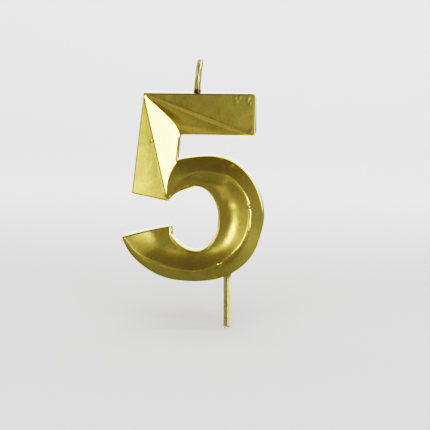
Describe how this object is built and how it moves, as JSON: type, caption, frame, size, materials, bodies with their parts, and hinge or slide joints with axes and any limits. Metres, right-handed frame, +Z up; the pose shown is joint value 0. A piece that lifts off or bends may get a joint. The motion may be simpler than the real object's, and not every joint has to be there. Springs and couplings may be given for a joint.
{
  "type": "number birthday candle",
  "caption": "Figure five birthday candle with a folded-ribbon front in metallic gold, a short wick on its top bar and a thin pick below its bowl.",
  "frame": {"origin": "on the pick's axis, where the pick enters the cake's surface", "axes": "+Z up along the pick, +X towards the free end of the top bar, +Y out of the flat back; the folded front faces -Y"},
  "size_m": [0.049, 0.009, 0.1203],
  "materials": {
    "wax": "satin",
    "gold_lacquer": "gloss",
    "cotton": "matte",
    "pick_plastic": "satin"
  },
  "bodies": {
    "root": {"wax_numeral": "wax", "numeral_lacquer": "gold_lacquer", "wick_strand_1": "cotton", "wick_strand_2": "cotton", "wick_strand_3": "cotton", "wick_wax": "wax", "wick_lacquer": "gold_lacquer", "pick": "pick_plastic", "pick_lacquer": "gold_lacquer"}
  },
  "joints": []
}
